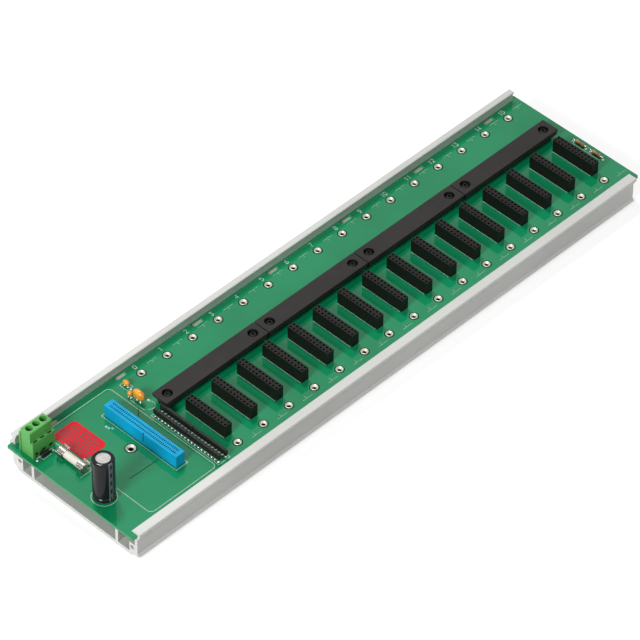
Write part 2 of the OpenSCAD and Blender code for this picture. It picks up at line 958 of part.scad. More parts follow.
// shrunk sleeve, turned in over the can's rim
module capacitor_sleeve() {
    color([0.1, 0.1, 0.12])
        translate([can_x, can_y, deck_z])
            rotate_extrude($fn = 64)
                polygon(concat(
                    [
                        [can_r + can_play, can_seal_h + 0.2],
                        [sleeve_r, can_seal_h + 0.2],
                        [sleeve_r, can_crimp_z],
                        [sleeve_r - can_crimp_d, can_crimp_z + can_crimp_h / 2],
                        [sleeve_r, can_crimp_z + can_crimp_h]
                    ],
                    shoulder(sleeve_r, can_h, can_round, [0 : 22.5 : 90]),
                    [
                        [can_r - can_lip, can_h],
                        [can_r - can_lip, can_h - sleeve_t]
                    ],
                    shoulder(
                        can_r + can_play, can_h - sleeve_t, can_round - sleeve_t,
                        [90 : -22.5 : 0]
                    ),
                    [
                        [can_r + can_play, can_crimp_z + can_crimp_h],
                        [can_r + can_play - can_crimp_d, can_crimp_z + can_crimp_h / 2],
                        [can_r + can_play, can_crimp_z]
                    ]
                ));
}

// ---------------------------------------------------------------- small leaded parts

// places the two leads of a bead; a bead's leads reach h above the board
module bead_lead_places(at, span) {
    for (side = [-1, 1])
        translate([at[0], at[1] + side * span / 2, deck_z])
            children();
}

function bead_lead_h(at, size) = at[2] - size[2] / 2 + bead_lead_in;

// bead of resin with a hole for each lead
module bead(at, size, span) {
    color([0.92, 0.56, 0.1])
        difference() {
            translate([at[0], at[1], deck_z + at[2]])
                scale([size[0] / size[2], size[1] / size[2], 1])
                    sphere(d = size[2], $fn = 32);
            bead_lead_places(at, span)
                cylinder(d = pin_d + 2 * lead_play, h = bead_lead_h(at, size), $fn = 24);
        }
}

module dipped_capacitor_large() {
    bead(large_bead_at, large_bead, large_bead_span);
}

module dipped_capacitor_medium() {
    bead(medium_bead_at, medium_bead, medium_bead_span);
}

module dipped_capacitor_small() {
    bead(small_bead_at, small_bead, small_bead_span);
}

module dipped_capacitor_leads() {
    color("silver") {
        bead_lead_places(large_bead_at, large_bead_span)
            soldered_pin(bead_lead_h(large_bead_at, large_bead));
        bead_lead_places(medium_bead_at, medium_bead_span)
            soldered_pin(bead_lead_h(medium_bead_at, medium_bead));
        bead_lead_places(small_bead_at, small_bead_span)
            soldered_pin(bead_lead_h(small_bead_at, small_bead));
    }
}

// the two bent leads of a part that lies along X
module bent_leads(body_l, span, z) {
    for (turn = [0, 180])
        rotate([0, 0, turn]) {
            translate([body_l / 2, 0, z])
                rotate([0, 90, 0])
                    cylinder(d = pin_d, h = (span - body_l) / 2, $fn = 24);
            translate([span / 2, 0, z])
                sphere(d = pin_d, $fn = 24);
            translate([span / 2, 0, 0])
                soldered_pin(z);
        }
}

module diode_body() {
    color([0.12, 0.12, 0.12])
        translate([diode_x, diode_y, deck_z + diode_z])
            rotate([0, 90, 0])
                cylinder(d = diode_d, h = diode_l, center = true, $fn = 32);
}

module diode_leads() {
    color("silver")
        translate([diode_x, diode_y, deck_z])
            bent_leads(diode_l, diode_span, diode_z);
}

module end_resistor_places() {
    for (y = end_res_places)
        translate([end_res_x, y, deck_z])
            rotate([0, 0, 90])
                children();
}

// body with a thicker bulge at each end
module end_resistors() {
    color([0.8, 0.66, 0.45])
        end_resistor_places()
            translate([0, 0, end_res_z])
                rotate([0, 90, 0])
                    rotate_extrude($fn = 32)
                        polygon([
                            [0, -end_res_l / 2],
                            [end_res_d / 2 - 0.4, -end_res_l / 2],
                            [end_res_d / 2, -end_res_l / 2 + 0.4],
                            [end_res_d / 2, -end_res_l / 2 + 1.4],
                            [end_res_d / 2 - 0.25, -end_res_l / 2 + 1.9],
                            [end_res_d / 2 - 0.25, end_res_l / 2 - 1.9],
                            [end_res_d / 2, end_res_l / 2 - 1.4],
                            [end_res_d / 2, end_res_l / 2 - 0.4],
                            [end_res_d / 2 - 0.4, end_res_l / 2],
                            [0, end_res_l / 2]
                        ]);
}

module end_resistor_leads() {
    color("silver")
        end_resistor_places()
            bent_leads(end_res_l, end_res_span, end_res_z);
}

// ---------------------------------------------------------------- warning label

module warning_label() {
    color([0.84, 0.12, 0.15])
        translate([label_x - label_w / 2, label_y - label_l / 2, deck_z])
            linear_extrude(height = label_t)
                round_plate([label_w, label_l], label_r);
}

// ---------------------------------------------------------------- nodes

tray_extrusion();
circuit_board();
module_socket(0);  // module_socket_00
module_socket(1);  // module_socket_01
module_socket(2);  // module_socket_02
module_socket(3);  // module_socket_03
module_socket(4);  // module_socket_04
module_socket(5);  // module_socket_05
module_socket(6);  // module_socket_06
module_socket(7);  // module_socket_07
module_socket(8);  // module_socket_08
module_socket(9);  // module_socket_09
module_socket(10);  // module_socket_10
module_socket(11);  // module_socket_11
module_socket(12);  // module_socket_12
module_socket(13);  // module_socket_13
module_socket(14);  // module_socket_14
module_socket(15);  // module_socket_15
socket_solder_tails();
retention_bar(1);  // retention_bar_1
retention_bar(2);  // retention_bar_2
retention_bar(3);  // retention_bar_3
retention_bar(4);  // retention_bar_4
bar_screws();
bar_nuts();
back_standoffs();
front_standoffs();
controller_standoff();
controller_connector();
connector_solder_tails();
resistor_network(1);  // resistor_network_1
resistor_network(2);  // resistor_network_2
resistor_network(3);  // resistor_network_3
resistor_network(4);  // resistor_network_4
network_pins();
terminal_block();
terminal_screws();
terminal_clamps();
fuse_tube();
fuse_end_caps();
fuse_clips();
capacitor_can();
capacitor_sleeve();
capacitor_seal();
dipped_capacitor_large();
dipped_capacitor_medium();
dipped_capacitor_small();
dipped_capacitor_leads();
diode_body();
diode_leads();
end_resistors();
end_resistor_leads();
warning_label();
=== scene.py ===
# %% [markdown]
# # A mounting rack for plug-in modules
#
# The rack is a long aluminium tray with a green circuit board slid into it.  The
# solid parts come from CAD and are loaded as a fixed frame in metres: X runs along
# the tray, +Y points to the tall back rail and +Z is up.  Blender's share is the
# finish of every surface, and the thin things that CAD leaves out, such as the
# printed ink on the board.  The box is measured now.

# %% Load the frame
import math

import bpy
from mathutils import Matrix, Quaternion, Vector


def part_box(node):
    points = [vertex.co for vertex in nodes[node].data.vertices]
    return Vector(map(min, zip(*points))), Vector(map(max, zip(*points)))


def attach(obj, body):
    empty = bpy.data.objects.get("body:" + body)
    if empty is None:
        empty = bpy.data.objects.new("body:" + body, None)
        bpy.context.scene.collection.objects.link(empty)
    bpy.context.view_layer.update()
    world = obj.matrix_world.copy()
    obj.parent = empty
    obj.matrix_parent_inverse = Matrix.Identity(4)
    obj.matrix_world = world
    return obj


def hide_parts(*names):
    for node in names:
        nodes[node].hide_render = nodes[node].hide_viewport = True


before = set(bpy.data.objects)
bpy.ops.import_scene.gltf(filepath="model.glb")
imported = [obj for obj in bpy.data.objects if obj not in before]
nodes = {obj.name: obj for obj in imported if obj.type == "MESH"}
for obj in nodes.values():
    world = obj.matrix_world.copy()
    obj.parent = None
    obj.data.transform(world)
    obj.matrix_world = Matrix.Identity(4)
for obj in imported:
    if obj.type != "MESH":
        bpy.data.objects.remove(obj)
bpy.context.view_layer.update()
print("nodes in the frame:", len(nodes))

# %% [markdown]
# ## Where things are
#
# Everything added later is placed from the CAD nodes' own boxes, so it follows them
# if a size changes.  The board's upper face carries all the ink, and the first and
# the last socket give the pitch of the module places.

# %% Measure the frame
MODULE_PLACES = 16

board_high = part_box("circuit_board")[1]
deck = board_high.z
SOCKETS = ["module_socket_%02d" % i for i in range(MODULE_PLACES)]


def middle(name):
    low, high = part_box(name)
    return (low + high) / 2


first = middle(SOCKETS[0])
last = middle(SOCKETS[-1])
pitch = (last.x - first.x) / (MODULE_PLACES - 1)
front_hole_y = middle("front_standoffs").y
back_hole_y = middle("back_standoffs").y
print("deck height %.4f, pitch %.5f" % (deck, pitch))

# %% [markdown]
# ## The camera
#
# A long rack looks right through a long lens: the sides stay nearly parallel, as in
# a catalogue.  The camera stands off the near corner, 44 degrees up, 2.6 m away,
# with a lens seven times as long as the sensor is wide.  It's aimed by building its
# axes from two angles, and then turned by a small roll about its own axis.

# %% Camera
AZIMUTH = math.radians(-46.01)
ELEVATION = math.radians(44.32)
ROLL = math.radians(0.69)
AIM = Vector((-0.01228, -0.00267, 0.0184))
DISTANCE = 2.611
LENS = 266.85
SENSOR = 36

back = Vector(
    (
        math.sin(AZIMUTH) * math.cos(ELEVATION),
        -math.cos(AZIMUTH) * math.cos(ELEVATION),
        math.sin(ELEVATION),
    )
)
camera_data = bpy.data.cameras.new("camera")
camera_data.sensor_width = SENSOR
camera_data.lens = LENS
camera_data.clip_end = 20
camera = bpy.data.objects.new("camera", camera_data)
bpy.context.scene.collection.objects.link(camera)
camera.location = AIM + back * DISTANCE
camera.rotation_mode = "QUATERNION"
camera.rotation_quaternion = Quaternion(back, ROLL) @ back.to_track_quat("Z", "Y")
bpy.context.scene.camera = camera
bpy.context.scene.view_settings.view_transform = "Standard"
print("camera at", [round(v, 3) for v in camera.location])

# %% [markdown]
# ## Small tools for finishes
#
# A finish is a Principled shader and a few nodes in front of it.  `add` makes a node
# and plugs values or other nodes' outputs into it by socket name, so each finish
# below reads as a short recipe.  The coordinates are the object's own, in metres: a
# noise of scale 1000 has features about a millimetre wide.

# %% Node helpers
def add(finish, kind, outputs=0, settings=None, **inputs):
    """Inputs go by socket name, or by number as i0, i1 where names repeat."""
    node = finish.node_tree.nodes.new(kind)
    for key, value in (settings or {}).items():
        setattr(node, key, value)
    for key, value in inputs.items():
        if key[0] == "i" and key[1:].isdigit():
            socket = node.inputs[int(key[1:])]
        else:
            socket = node.inputs[[s.name for s in node.inputs].index(key.replace("_", " "))]
        if isinstance(value, bpy.types.NodeSocket):
            finish.node_tree.links.new(value, socket)
        else:
            socket.default_value = value
    return node.outputs[outputs]


def new_finish(name, colour, roughness, **more):
    finish = bpy.data.materials.new(name)
    finish.use_nodes = True
    shader = finish.node_tree.nodes["Principled BSDF"]
    shader.inputs["Base Color"].default_value = (*colour, 1)
    shader.inputs["Roughness"].default_value = roughness
    for key, value in more.items():
        shader.inputs[key.replace("_", " ")].default_value = value
    return finish


def plug(finish, socket, output):
    shader = finish.node_tree.nodes["Principled BSDF"]
    finish.node_tree.links.new(output, shader.inputs[socket])


def place(finish, stretch=(1, 1, 1)):
    where = add(finish, "ShaderNodeTexCoord", outputs=3)
    return add(finish, "ShaderNodeMapping", Vector=where, Scale=stretch)


def coordinate(finish, axis):
    """One of the object's own coordinates, in metres."""
    where = add(finish, "ShaderNodeTexCoord", outputs=3)
    return add(finish, "ShaderNodeSeparateXYZ", outputs=axis, i0=where)


def noise(finish, where, scale, detail=3, roughness=0.5):
    return add(
        finish, "ShaderNodeTexNoise", Vector=where, Scale=scale, Detail=detail, Roughness=roughness
    )


def spread(finish, value, low, high, to_low=0.0, to_high=1.0):
    return add(
        finish, "ShaderNodeMapRange",
        Value=value, From_Min=low, From_Max=high, To_Min=to_low, To_Max=to_high,
    )


def blend(finish, amount, first_colour, second_colour):
    node_inputs = {"i0": amount, "i6": first_colour, "i7": second_colour}
    return add(finish, "ShaderNodeMix", outputs=2, settings={"data_type": "RGBA"}, **node_inputs)


def calc(finish, operation, one, two=0.5):
    return add(finish, "ShaderNodeMath", settings={"operation": operation}, i0=one, i1=two)


def relief(finish, height, depth, rounding=None):
    more = {}
    if rounding:
        more["Normal"] = add(finish, "ShaderNodeBevel", settings={"samples": 4}, Radius=rounding)
    bump = add(finish, "ShaderNodeBump", Height=height, Strength=1.0, Distance=depth, **more)
    plug(finish, "Normal", bump)


def edges(finish, radius):
    """1 on outer edges, where a highlight is painted, 0 on flats: the rounded normal leaves the true one
    there.
    """
    rounded = add(finish, "ShaderNodeBevel", settings={"samples": 4}, Radius=radius)
    true = add(finish, "ShaderNodeNewGeometry", outputs=1)
    cosine = add(
        finish, "ShaderNodeVectorMath", outputs=1, settings={"operation": "DOT_PRODUCT"}, i0=rounded, i1=true
    )
    return spread(finish, cosine, 0.995, 0.85)


def facing(finish, axis):
    """How far the surface faces along an axis, from -1 to 1."""
    split = add(finish, "ShaderNodeNewGeometry", outputs=1)
    return add(finish, "ShaderNodeSeparateXYZ", outputs=axis, i0=split)


def dress(finish, *names):
    for name in names:
        slots = nodes[name].data.materials
        slots.clear()
        slots.append(finish)
    print(finish.name, "on", len(names), "node(s)")


# %% [markdown]
# ## Floor, backdrop and light
#
# Product shots stand on seamless white paper.  The paper here is a big grey plane
# that carries the soft shadow.  It is lifted to white only where the camera or a
# reflection looks at it, so it doesn't add light to the object.  It lies a tenth of a
# millimetre low, because the tray's flat underside would share its plane and the two
# would flicker through each other.
#
# The key light is a soft box high above and a little behind, so shadows stay short.
# A second one stands lower at the power end and lights the end faces and the inside
# of the tray, and a weak fill in front keeps the long front side from going dark.

# %% Paper floor and world
FLOOR_WHITE = 0.62
FLOOR_GAP = 0.0001
FLOOR_WIDE = 12
SKY_LIGHT = 0.22


def seen_directly(finish):
    """1 for the camera, a reflection or a look through glass, 0 for light itself."""
    ray = finish.node_tree.nodes.new("ShaderNodeLightPath")
    seen = calc(finish, "MAXIMUM", ray.outputs["Is Camera Ray"], ray.outputs["Is Glossy Ray"])
    return calc(finish, "MAXIMUM", seen, ray.outputs["Is Transmission Ray"])


paper = new_finish("paper", (0.5, 0.5, 0.5), 0.9, Emission_Color=(1, 1, 1, 1))
plug(paper, "Emission Strength", calc(paper, "MULTIPLY", seen_directly(paper), FLOOR_WHITE))

bpy.ops.mesh.primitive_plane_add(size=FLOOR_WIDE, location=(0, 0, -FLOOR_GAP))
floor = bpy.context.object
floor.name = "paper_floor"
floor.data.materials.append(paper)

world = bpy.data.worlds.new("studio")
bpy.context.scene.world = world
world.use_nodes = True
sky = world.node_tree.nodes["Background"]
strength = spread(world, seen_directly(world), 0, 1, SKY_LIGHT, 1.0)
world.node_tree.links.new(strength, sky.inputs["Strength"])
sky.inputs["Color"].default_value = (1, 1, 1, 1)
print("floor and world are white to the camera and to reflections")


# %% Lamps
def soft_box(name, azimuth, elevation, distance, size, power):
    """A round lamp aimed at the object; azimuth runs from +X towards +Y, in degrees."""
    lamp = bpy.data.lights.new(name, "AREA")
    lamp.shape = "DISK"
    lamp.size = size
    lamp.energy = power
    box = bpy.data.objects.new(name, lamp)
    turn = math.radians(azimuth)
    lift = math.radians(elevation)
    away = Vector((math.cos(turn) * math.cos(lift), math.sin(turn) * math.cos(lift), math.sin(lift)))
    box.location = away * distance
    box.rotation_euler = away.to_track_quat("Z", "Y").to_euler()
    bpy.context.scene.collection.objects.link(box)


soft_box("key_light", 72, 66, 2.6, 0.4, 29)
soft_box("side_light", 190, 34, 2.6, 0.9, 50)
soft_box("front_fill", -88, 24, 2.8, 1.6, 4)
print("three soft boxes")

# %% [markdown]
# ## Extruded aluminium
#
# An extrusion comes out of its die with fine lines along its whole length, and is
# then anodised to a pale satin.  The lines are one noise, stretched a hundred and
# fifty times along X, that drives both a shallow relief and the roughness.  The two
# ends are sawn, so where the surface faces along X a ring pattern takes over, and
# there the colour is painted a little brighter as a painted highlight.  The long edges
# get the same painted highlight.

# %% Aluminium
aluminium = new_finish(
    "anodised_aluminium", (0.58, 0.585, 0.56), 0.45, Metallic=0.2, Specular_IOR_Level=0.3
)
lines = noise(aluminium, place(aluminium, (6, 900, 900)), 1.0, 4, 0.6)
cloud = noise(aluminium, place(aluminium), 14, 2)
end = spread(aluminium, calc(aluminium, "ABSOLUTE", facing(aluminium, 0)), 0.8, 0.95)
saw = add(
    aluminium, "ShaderNodeTexWave", outputs=1, settings={"wave_type": "RINGS", "rings_direction": "X"},
    Vector=place(aluminium), Scale=260, Distortion=3, Detail=2,
)
grain = add(aluminium, "ShaderNodeMix", settings={"data_type": "FLOAT"}, i0=end, i2=lines, i3=saw)
satin = blend(
    aluminium, spread(aluminium, cloud, 0.35, 0.65), (0.55, 0.555, 0.53, 1), (0.605, 0.61, 0.585, 1)
)
# Painted highlight: faces along X, the sawn ends, get a brighter colour.
satin = blend(aluminium, end, satin, (0.72, 0.715, 0.69, 1))
# Painted highlight: the outer edges get a paler colour.
satin = blend(aluminium, edges(aluminium, 0.0003), satin, (0.72, 0.72, 0.70, 1))
plug(aluminium, "Base Color", satin)
plug(aluminium, "Roughness", spread(aluminium, grain, 0.3, 0.7, 0.34, 0.5))
relief(aluminium, grain, 0.00004, 0.0002)
dress(aluminium, "tray_extrusion")

# %% [markdown]
# ## The coated board
#
# A circuit board is woven glass and resin with copper on it, and a green solder mask
# over all.  The mask is glossy, so the board mirrors its white surroundings faintly,
# and the black sockets darkly.  A coat layer does that.  Below the coat the green
# varies a little from place to place, and the weave shows through as a fine relief.
# The cut edges are bare laminate.

# %% Board
mask = new_finish(
    "green_mask", (0.003, 0.22, 0.09), 0.4, Specular_IOR_Level=0.05, Coat_Weight=0.72, Coat_Roughness=0.03
)
where = place(mask)


def threads(direction):
    return add(
        mask, "ShaderNodeTexWave", settings={"bands_direction": direction},
        Vector=where, Scale=420, Distortion=0.5,
    )


weave = calc(mask, "MULTIPLY", threads("X"), threads("Y"))
patches = spread(mask, noise(mask, where, 22, 2), 0.35, 0.65)
green = blend(mask, patches, (0.001, 0.205, 0.078, 1), (0.003, 0.25, 0.100, 1))
green = blend(mask, calc(mask, "MULTIPLY", weave, 0.10), green, (0.02, 0.40, 0.16, 1))
sawn = spread(mask, calc(mask, "ABSOLUTE", facing(mask, 2)), 0.7, 0.5)
fibres = noise(mask, place(mask, (900, 900, 6000)), 1.0, 2)
laminate = blend(mask, fibres, (0.02, 0.24, 0.08, 1), (0.06, 0.36, 0.12, 1))
plug(mask, "Base Color", blend(mask, sawn, green, laminate))
plug(mask, "Roughness", spread(mask, sawn, 0, 1, 0.38, 0.75))
relief(mask, weave, 0.000006, 0.00015)
dress(mask, "circuit_board")

# %% [markdown]
# ## Moulded plastics
#
# They share one recipe with other numbers: a fine spark-eroded grain, a roughness
# that drifts over the part, and a painted highlight that makes the outer edges a little
# paler.  Narrow holes and slots are painted dark as shade, which an Ambient
# Occlusion node finds by looking a few millimetres around each point.  The Bevel node
# rounds the edges in the shading alone, so the CAD meshes stay as they are.

# %% Mouldings
def moulding(name, colour, edge_highlight_colour, roughness, grain=0.000012, rounding=0.0002, gloss=0.25):
    finish = new_finish(name, colour, roughness, Specular_IOR_Level=gloss)
    where = place(finish)
    tone = noise(finish, where, 60, 3)
    dark = tuple(c * 0.86 for c in colour) + (1,)
    light = tuple(min(1, c * 1.12) for c in colour) + (1,)
    tint = blend(finish, spread(finish, tone, 0.35, 0.65), dark, light)
    # Painted highlight: the outer edges are painted paler.
    tint = blend(finish, edges(finish, rounding), tint, (*edge_highlight_colour, 1))
    # Painted shade: holes and slots are painted dark where little light reaches in.
    openness_for_painted_shade = add(
        finish, "ShaderNodeAmbientOcclusion", outputs=1, settings={"samples": 4}, Distance=0.0035
    )
    deep = tuple(c * 0.12 for c in colour) + (1,)
    tint = blend(finish, spread(finish, openness_for_painted_shade, 0.15, 0.55), deep, tint)
    plug(finish, "Base Color", tint)
    drift = spread(
        finish, noise(finish, where, 240, 2), 0.3, 0.7, roughness - 0.05, roughness + 0.06
    )
    plug(finish, "Roughness", drift)
    relief(finish, noise(finish, where, 2600, 2, 0.6), grain, rounding)
    return finish


socket_black = moulding(
    "socket_black", (0.006, 0.0055, 0.005), (0.030, 0.026, 0.024), 0.42, gloss=0.16
)
dress(socket_black, *SOCKETS)

# %% [markdown]
# ## The clamping bars
#
# Four bars hold the modules down, end to end.  A bar is a slab with sloping ends on
# two feet, and a screw sits in a round well over each foot.  The CAD bars are as wide
# at the feet as on top.  The moulded ones have feet set in from both long sides, so
# each bar is built again here: a slab with soft edges, the feet joined to it, and the
# wells cut out with Boolean modifiers, from the CAD bar's own box.

# %% Tools for solid shapes
def mesh_piece(name, vertices, faces):
    mesh = bpy.data.meshes.new(name)
    mesh.from_pydata(vertices, [], faces)
    piece = bpy.data.objects.new(name, mesh)
    bpy.context.scene.collection.objects.link(piece)
    return piece


def prism(name, outline, low_y, high_y):
    """A solid with an outline in X and Z, in metres, from one Y to another."""
    count = len(outline)
    vertices = [(x, y, z) for y in (low_y, high_y) for x, z in outline]
    faces = [tuple(range(count)), tuple(range(2 * count - 1, count - 1, -1))]
    for i in range(count):
        j = (i + 1) % count
        faces.append((j, i, i + count, j + count))
    return mesh_piece(name, vertices, faces)


def cut_or_join(solid, tool, operation):
    change = solid.modifiers.new(tool.name, "BOOLEAN")
    change.object = tool
    change.operation = operation
    change.solver = "EXACT"
    tool.hide_render = True


def apply_changes(solid, *tools):
    """Turns the modifiers into plain mesh and removes the tools."""
    ready = solid.evaluated_get(bpy.context.evaluated_depsgraph_get())
    solid.data = bpy.data.meshes.new_from_object(ready)
    solid.modifiers.clear()
    for tool in tools:
        bpy.data.objects.remove(tool)


def round_tool(x, y, radius, low_z, high_z):
    bpy.ops.mesh.primitive_cylinder_add(
        vertices=48, radius=radius, depth=high_z - low_z, location=(x, y, (low_z + high_z) / 2)
    )
    return bpy.context.object


# %% Clamping bars
bar_black = moulding(
    "bar_black", (0.020, 0.0172, 0.0165), (0.026, 0.0225, 0.0215), 0.55, 0.00002, 0.0003, 0.2
)
BAR_COUNT = 4
BAR_THICK = 0.0034
BAR_UNDERCUT = 0.0022
BAR_TOE = 0.0005
FOOT_LONG = 0.0105
FOOT_INSET = 0.0029
SCREW_IN = 0.0063
WELL_RADIUS = 0.0031
WELL_DEEP = 0.0022
SHANK_RADIUS = 0.0015
SOFT_EDGE = 0.00022
OVERLAP = 0.0004
CUT_PAST = 0.001


def detailed_bar(number):
    name = "retention_bar_%d" % number
    low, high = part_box(name)
    tall = high.z - low.z

    def lean(z):
        return BAR_UNDERCUT * (high.z - z) / (tall - BAR_TOE)

    under = high.z - BAR_THICK
    slab = prism(
        "clamping_bar_%d" % number,
        [
            (low.x + lean(under), under), (high.x - lean(under), under),
            (high.x, high.z), (low.x, high.z),
        ],
        low.y, high.y,
    )
    soft = slab.modifiers.new("soft_edges", "BEVEL")
    soft.width = SOFT_EDGE
    soft.segments = 2
    tools = []
    for side, end in ((1, low.x), (-1, high.x)):
        foot = prism(
            "foot",
            [
                (end + side * BAR_UNDERCUT, low.z), (end + side * FOOT_LONG, low.z),
                (end + side * FOOT_LONG, under + OVERLAP), (end + side * lean(under), under + OVERLAP),
                (end + side * BAR_UNDERCUT, low.z + BAR_TOE),
            ][::side],
            low.y + FOOT_INSET, high.y - FOOT_INSET,
        )
        cut_or_join(slab, foot, "UNION")
        x, y = end + side * SCREW_IN, (low.y + high.y) / 2
        well = round_tool(x, y, WELL_RADIUS, high.z - WELL_DEEP, high.z + CUT_PAST)
        shank = round_tool(x, y, SHANK_RADIUS, low.z - CUT_PAST, high.z)
        cut_or_join(slab, well, "DIFFERENCE")
        cut_or_join(slab, shank, "DIFFERENCE")
        tools += [foot, well, shank]
    apply_changes(slab, *tools)
    slab.data.materials.clear()
    slab.data.materials.append(bar_black)
    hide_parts(name)
    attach(slab, "root")
    print(slab.name, "has", len(slab.data.polygons), "faces")


for number in range(1, BAR_COUNT + 1):
    detailed_bar(number)

# %% [markdown]
# ## Coloured mouldings
#
# Connector makers dye a part to tell its use: blue for the controller's connector and
# green for the power terminals.  The resistor networks are dipped in black.  The same
# recipe serves, with a duller or a glossier skin.

# %% Other mouldings
connector_blue = moulding("connector_blue", (0.002, 0.34, 0.62), (0.02, 0.50, 0.80), 0.36, gloss=0.2)
dress(connector_blue, "controller_connector")

terminal_green = moulding("terminal_green", (0.10, 0.40, 0.09), (0.26, 0.60, 0.22), 0.4)
dress(terminal_green, "terminal_block")

network_black = moulding(
    "network_black", (0.007, 0.007, 0.007), (0.02, 0.02, 0.02), 0.35, 0.00003, 0.0004
)
dress(network_black, *["resistor_network_%d" % i for i in (1, 2, 3, 4)])

# %% [markdown]
# ## Bright metals
#
# Small metal parts here are tin plate, nickel plate and solder.  What tells them
# apart is how rough they are and how the surface rolls.  Solder is smooth and
# slightly wavy, and screws are steel with a black oxide.  Tin plate is satin and only
# half metallic, since it's dull from storage, and the threaded bore of a standoff is
# painted dark as shade from a little below the deck.

# %% Metals
def metal(name, colour, roughness, scale, depth, metallic=1.0):
    finish = new_finish(name, colour, roughness, Metallic=metallic)
    where = place(finish)
    wave = noise(finish, where, scale, 3)
    dull = tuple(c * 0.8 for c in colour) + (1,)
    plug(finish, "Base Color", blend(finish, spread(finish, wave, 0.4, 0.7), (*colour, 1), dull))
    fine_grain = noise(finish, where, scale * 2.5, 2)
    plug(finish, "Roughness", spread(finish, fine_grain, 0.3, 0.7, roughness * 0.8, roughness * 1.3))
    relief(finish, wave, depth, 0.00012)
    return finish


tin_plate = metal("tin_plate", (0.66, 0.65, 0.56), 0.5, 700, 0.00003, 0.5)
BORE_SHADE_TOP = deck - 0.0006
BORE_SHADE_FADE = 0.0005
# Painted shade: the tin goes dark down the bore, from a little below the deck.
bore_shade_mask = spread(tin_plate, coordinate(tin_plate, 2), BORE_SHADE_TOP, BORE_SHADE_TOP - BORE_SHADE_FADE)
bright = tin_plate.node_tree.nodes["Principled BSDF"].inputs["Base Color"].links[0].from_socket
plug(tin_plate, "Base Color", blend(tin_plate, bore_shade_mask, bright, (0.02, 0.018, 0.015, 1)))
dress(tin_plate, "back_standoffs", "front_standoffs", "controller_standoff")

solder = metal("bright_solder", (0.58, 0.58, 0.56), 0.28, 900, 0.00004)
dress(
    solder, "socket_solder_tails", "connector_solder_tails", "network_pins",
    "dipped_capacitor_leads", "diode_leads", "end_resistor_leads",
)

nickel = metal("nickel_plate", (0.40, 0.38, 0.34), 0.28, 500, 0.00003)
dress(nickel, "fuse_end_caps", "fuse_clips", "terminal_screws", "terminal_clamps", "bar_nuts")

black_oxide = metal("black_oxide", (0.022, 0.022, 0.023), 0.3, 800, 0.00002)
dress(black_oxide, "bar_screws")

# %% [markdown]
# ## The tall capacitor
#
# It's an aluminium can in a shrunk black sleeve that leaves the middle of its top
# bare.  The sleeve carries a grey stripe down one side with a row of dashes, which
# marks the minus lead.  The stripe is found by angle about the can's own axis, so it
# stays on the sleeve from all sides.

# %% Can, sleeve and seal
can_metal = metal("can_aluminium", (0.44, 0.43, 0.41), 0.5, 300, 0.00001, 0.4)
dress(can_metal, "capacitor_can")

STRIPE_ANGLE = math.radians(-94)
STRIPE_HALF = math.radians(13)
DASH_HALF = 0.10
DASH_EVERY = 0.006
DASH_PART = 0.28
axis = middle("capacitor_sleeve")
sleeve = new_finish("black_sleeve", (0.008, 0.008, 0.010), 0.16, Specular_IOR_Level=0.2)
where = add(sleeve, "ShaderNodeTexCoord", outputs=3)
own = add(
    sleeve, "ShaderNodeVectorMath", settings={"operation": "SUBTRACT"},
    i0=where, i1=(axis.x, axis.y, deck),
)
own = add(sleeve, "ShaderNodeVectorRotate", Vector=own, Angle=-STRIPE_ANGLE)
split = sleeve.node_tree.nodes.new("ShaderNodeSeparateXYZ")
sleeve.node_tree.links.new(own, split.inputs[0])
angle = calc(sleeve, "ARCTAN2", split.outputs[1], split.outputs[0])
height = split.outputs[2]
off_axis = calc(sleeve, "ABSOLUTE", angle)
in_stripe = calc(sleeve, "LESS_THAN", off_axis, STRIPE_HALF)
on_side = calc(sleeve, "LESS_THAN", calc(sleeve, "ABSOLUTE", facing(sleeve, 2)), 0.96)
in_stripe = calc(sleeve, "MULTIPLY", in_stripe, on_side)
beat = calc(sleeve, "FRACT", calc(sleeve, "MULTIPLY", height, 1 / DASH_EVERY))
off_beat = calc(sleeve, "ABSOLUTE", calc(sleeve, "SUBTRACT", beat, 0.5))
dash = calc(
    sleeve, "MULTIPLY",
    calc(sleeve, "LESS_THAN", off_beat, DASH_PART), calc(sleeve, "LESS_THAN", off_axis, DASH_HALF),
)
ink = blend(sleeve, dash, (0.12, 0.13, 0.17, 1), (0.02, 0.02, 0.025, 1))
film = noise(sleeve, place(sleeve), 90, 3)
black = blend(sleeve, film, (0.006, 0.006, 0.008, 1), (0.012, 0.012, 0.015, 1))
plug(sleeve, "Base Color", blend(sleeve, in_stripe, black, ink))
relief(sleeve, noise(sleeve, place(sleeve, (1, 1, 0.25)), 500, 2), 0.00003, 0.0002)
dress(sleeve, "capacitor_sleeve")

rubber = moulding("seal_rubber", (0.015, 0.015, 0.015), (0.03, 0.03, 0.03), 0.7)
dress(rubber, "capacitor_seal")

# %% [markdown]
# ## Beads, fuse, diode and resistors
#
# The bead capacitors are dipped in orange resin, which runs thick and glossy, darker
# where it is deep.  The fuse's tube is plain ceramic.  The two small resistors at the
# far end are tan with painted rings, placed along each body by its own Y position.

# %% Small parts
orange = new_finish("orange_resin", (0.78, 0.30, 0.01), 0.2, Specular_IOR_Level=0.45)
where = place(orange)
deep = spread(orange, noise(orange, where, 260, 3), 0.35, 0.65)
plug(orange, "Base Color", blend(orange, deep, (0.74, 0.25, 0.010, 1), (0.86, 0.40, 0.03, 1)))
relief(orange, noise(orange, where, 420, 2), 0.00012)
dress(orange, "dipped_capacitor_large", "dipped_capacitor_medium", "dipped_capacitor_small")

ceramic = moulding("fuse_ceramic", (0.72, 0.68, 0.60), (0.8, 0.77, 0.70), 0.55)
dress(ceramic, "fuse_tube")

dress(network_black, "diode_body")

